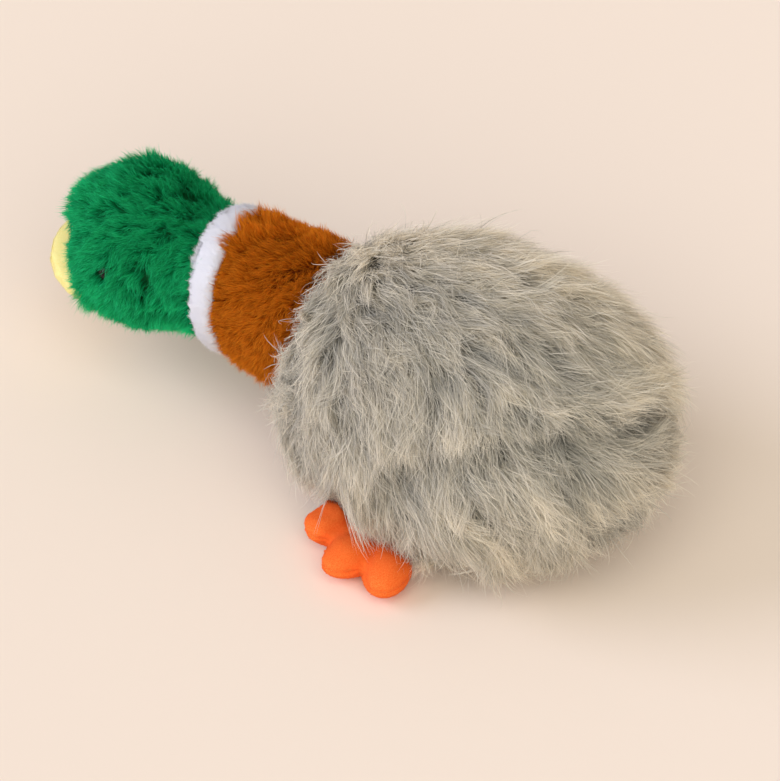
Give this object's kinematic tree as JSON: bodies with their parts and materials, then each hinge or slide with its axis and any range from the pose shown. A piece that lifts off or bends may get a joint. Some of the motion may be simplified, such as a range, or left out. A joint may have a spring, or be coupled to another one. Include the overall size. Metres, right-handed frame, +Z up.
{
  "type": "plush duck toy",
  "caption": "Lying plush duck with a shaggy egg-shaped body, bending neck, turning head, padded spoon bill, flapping webbed feet and a squeaker inside.",
  "frame": {"origin": "the floor below the middle of the toy's length and width", "axes": "+Z up, -Y towards the bill, +X to the duck's left"},
  "size_m": [0.1608, 0.3093, 0.127],
  "materials": {
    "grey_fur": "long shaggy pile",
    "brown_plush": "short plush pile",
    "white_plush": "short fluffy pile",
    "green_plush": "clumped plush pile",
    "yellow_plush": "smooth short pile",
    "orange_plush": "smooth short pile",
    "fibrefill": "loose fibre",
    "black_eye": "polished",
    "squeaker_plastic": "milky"
  },
  "bodies": {
    "body": {"back_panel": "grey_fur", "belly_panel": "grey_fur", "back_stuffing": "fibrefill", "belly_stuffing": "fibrefill", "squeaker_base": "squeaker_plastic", "squeaker_reed": "squeaker_plastic", "squeaker_bellows": "squeaker_plastic"},
    "squeaker_top": {"squeaker_crown": "squeaker_plastic"},
    "neck": {"neck_cover": "brown_plush", "neck_stuffing": "fibrefill", "collar": "white_plush"},
    "head": {"head_left_panel": "green_plush", "head_right_panel": "green_plush", "head_stuffing": "fibrefill", "bill_upper": "yellow_plush", "bill_lower": "yellow_plush", "bill_stuffing": "fibrefill", "left_eye": "black_eye", "right_eye": "black_eye", "left_eye_washer": "squeaker_plastic", "right_eye_washer": "squeaker_plastic"},
    "left_foot": {"left_foot_top": "orange_plush", "left_foot_sole": "orange_plush", "left_foot_stuffing": "fibrefill"},
    "right_foot": {"right_foot_top": "orange_plush", "right_foot_sole": "orange_plush", "right_foot_stuffing": "fibrefill"}
  },
  "joints": [
    {"name": "neck_nod", "type": "hinge", "parent": "body", "child": "neck", "pos_m": [0, -0.02425, 0.068], "axis": [-1, 0, 0], "range_deg": [-16, 30], "stiffness_Nm_per_rad": 1},
    {"name": "head_turn", "type": "hinge", "parent": "neck", "child": "head", "pos_m": [0, -0.06225, 0.0662], "axis": [0, -0.0436, 0.999], "range_deg": [-18, 18], "stiffness_Nm_per_rad": 0.5},
    {"name": "left_foot_flap", "type": "hinge", "parent": "body", "child": "left_foot", "pos_m": [0.04834, 0.05054, 0.01259], "axis": [-0.0037, -1, 0], "range_deg": [-30, 25], "stiffness_Nm_per_rad": 0.03},
    {"name": "right_foot_flap", "type": "hinge", "parent": "body", "child": "right_foot", "pos_m": [-0.04834, 0.05054, 0.01259], "axis": [-0.0037, 1, 0], "range_deg": [-30, 25], "stiffness_Nm_per_rad": 0.03},
    {"name": "squeaker_press", "type": "slide", "parent": "body", "child": "squeaker_top", "axis": [0, 0, 1], "range_m": [-0.006, 0], "stiffness_N_per_m": 300, "deforming": ["squeaker_bellows"]}
  ]
}
